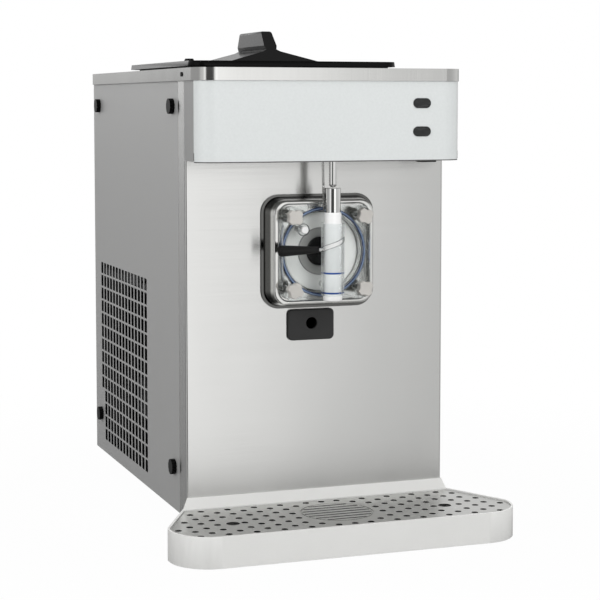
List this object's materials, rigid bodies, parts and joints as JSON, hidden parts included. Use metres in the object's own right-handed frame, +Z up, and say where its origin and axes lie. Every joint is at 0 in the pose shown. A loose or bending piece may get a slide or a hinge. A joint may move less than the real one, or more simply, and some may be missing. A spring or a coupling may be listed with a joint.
{
  "type": "countertop frozen drink machine",
  "caption": "Tall countertop dispenser that freezes drink mix from a lidded hopper and draws it through a clear door by a side lever over a slide-out drip tray.",
  "frame": {"origin": "centre of the overall footprint, at counter height", "axes": "+Z up, the draw valve and drip tray face -Y, the lamps and the rocker switch are on +X"},
  "size_m": [0.5154, 0.7506, 0.74],
  "materials": {
    "panel_grey": "satin",
    "stainless": "brushed",
    "fascia_pale": "satin",
    "lamp_dark": "gloss",
    "tray_white": "satin",
    "grate_steel": "satin",
    "black_plastic": "satin",
    "clear_plastic": "clear",
    "white_plastic": "gloss",
    "knob_offwhite": "satin",
    "seal_blue": "satin",
    "rubber_black": "matte",
    "polished_steel": "polished",
    "inner_steel": "mill",
    "plant_black": "satin",
    "gear_alloy": "cast",
    "fin_alloy": "mill",
    "copper_pipe": "drawn",
    "foam": "matte",
    "board_green": "satin"
  },
  "bodies": {
    "machine": {"base_pan": "inner_steel", "feet": "rubber_black", "frame": "inner_steel", "front_panel": "stainless", "left_side_panel": "panel_grey", "right_side_panel": "panel_grey", "rear_panel": "panel_grey", "panel_screws": "black_plastic", "header_box": "panel_grey", "header_fascia": "fascia_pale", "indicator_lamps": "lamp_dark", "control_board": "board_green", "switch_frame": "black_plastic", "top_cap": "stainless", "cap_screws": "black_plastic", "hopper": "stainless", "hopper_gasket": "rubber_black", "mix_inlet_tube": "inner_steel", "freezing_cylinder": "inner_steel", "cylinder_insulation": "foam", "door_surround": "stainless", "freezer_door": "clear_plastic", "door_seal": "seal_blue", "door_studs": "polished_steel", "draw_switch": "black_plastic", "guide_strip": "stainless", "drawer_guide": "inner_steel", "gearbox": "gear_alloy", "drive_shelf": "inner_steel", "drive_belt": "rubber_black", "drive_motor": "plant_black", "compressor": "plant_black", "condenser": "fin_alloy", "fan_shroud": "inner_steel", "fan_motor": "plant_black", "electrical_box": "inner_steel", "power_gland": "black_plastic", "refrigerant_lines": "copper_pipe"},
    "hopper_lid": {"hopper_lid": "black_plastic"},
    "mix_feed_tube": {"mix_feed_tube": "white_plastic"},
    "push_rod": {"push_rod": "polished_steel"},
    "draw_valve": {"draw_piston": "white_plastic", "piston_seals": "seal_blue", "valve_cap": "polished_steel", "lever_arm": "polished_steel", "lever_grip": "black_plastic"},
    "prime_plug": {"prime_plug": "white_plastic"},
    "door_knob_1": {"door_knob_1": "knob_offwhite"},
    "door_knob_2": {"door_knob_2": "knob_offwhite"},
    "door_knob_3": {"door_knob_3": "knob_offwhite"},
    "door_knob_4": {"door_knob_4": "knob_offwhite"},
    "drip_drawer": {"drip_drawer": "black_plastic"},
    "drip_tray": {"drip_tray": "tray_white"},
    "drip_grate": {"drip_grate": "grate_steel"},
    "beater": {"beater": "inner_steel", "beater_bush": "black_plastic"},
    "driven_pulley": {"driven_pulley": "gear_alloy"},
    "motor_pulley": {"motor_pulley": "gear_alloy"},
    "condenser_fan": {"condenser_fan": "black_plastic"},
    "rocker_switch": {"rocker_switch": "black_plastic"}
  },
  "joints": [
    {"name": "lid_lift", "type": "slide", "parent": "machine", "child": "hopper_lid", "axis": [0, 0, 1], "range_m": [0, 0.15]},
    {"name": "feed_tube_lift", "type": "slide", "parent": "machine", "child": "mix_feed_tube", "axis": [0, 0, 1], "range_m": [0, 0.025]},
    {"name": "rod_lift", "type": "slide", "parent": "machine", "child": "push_rod", "axis": [0, 0, 1], "range_m": [0, 0.015]},
    {"name": "lever_turn", "type": "hinge", "parent": "push_rod", "child": "draw_valve", "pos_m": [0.0015, -0.26275, 0.419], "axis": [0, 0, 1], "range_deg": [0, 150]},
    {"name": "prime_pull", "type": "slide", "parent": "machine", "child": "prime_plug", "axis": [0, -1, 0], "range_m": [0, 0.01]},
    {"name": "drawer_pull", "type": "slide", "parent": "machine", "child": "drip_drawer", "axis": [0, -1, 0], "range_m": [0, 0.15]},
    {"name": "tray_pull", "type": "slide", "parent": "machine", "child": "drip_tray", "axis": [0, -1, 0], "range_m": [0, 0.12]},
    {"name": "grate_lift", "type": "slide", "parent": "drip_tray", "child": "drip_grate", "axis": [0, 0, 1], "range_m": [0, 0.08]},
    {"name": "beater_turn", "type": "hinge", "parent": "machine", "child": "beater", "pos_m": [0, 0, 0.413], "axis": [0, -1, 0], "continuous": true},
    {"name": "driven_pulley_turn", "type": "hinge", "parent": "machine", "child": "driven_pulley", "pos_m": [0, 0.211, 0.413], "axis": [0, -1, 0], "continuous": true},
    {"name": "motor_pulley_turn", "type": "hinge", "parent": "machine", "child": "motor_pulley", "pos_m": [0, 0.211, 0.269], "axis": [0, -1, 0], "continuous": true},
    {"name": "fan_turn", "type": "hinge", "parent": "machine", "child": "condenser_fan", "pos_m": [0.112, 0.15225, 0.1665], "axis": [1, 0, 0], "continuous": true},
    {"name": "rocker_tilt", "type": "hinge", "parent": "machine", "child": "rocker_switch", "pos_m": [0.16, -0.23275, 0.5455], "axis": [0, 1, 0], "range_deg": [-8, 8]},
    {"name": "door_knob_1_turn", "type": "hinge", "parent": "machine", "child": "door_knob_1", "pos_m": [-0.0534, -0.2548, 0.4653], "axis": [0, -1, 0], "continuous": true},
    {"name": "door_knob_2_turn", "type": "hinge", "parent": "machine", "child": "door_knob_2", "pos_m": [0.0534, -0.2548, 0.4653], "axis": [0, -1, 0], "continuous": true},
    {"name": "door_knob_3_turn", "type": "hinge", "parent": "machine", "child": "door_knob_3", "pos_m": [-0.0534, -0.2548, 0.3607], "axis": [0, -1, 0], "continuous": true},
    {"name": "door_knob_4_turn", "type": "hinge", "parent": "machine", "child": "door_knob_4", "pos_m": [0.0534, -0.2548, 0.3607], "axis": [0, -1, 0], "continuous": true}
  ],
  "couplings": [
    {"joint": "rod_lift", "follows": "lever_turn", "m_per_rad": 0.0057295},
    {"joint": "driven_pulley_turn", "follows": "beater_turn", "ratio": 5},
    {"joint": "motor_pulley_turn", "follows": "beater_turn", "ratio": 10.814}
  ]
}
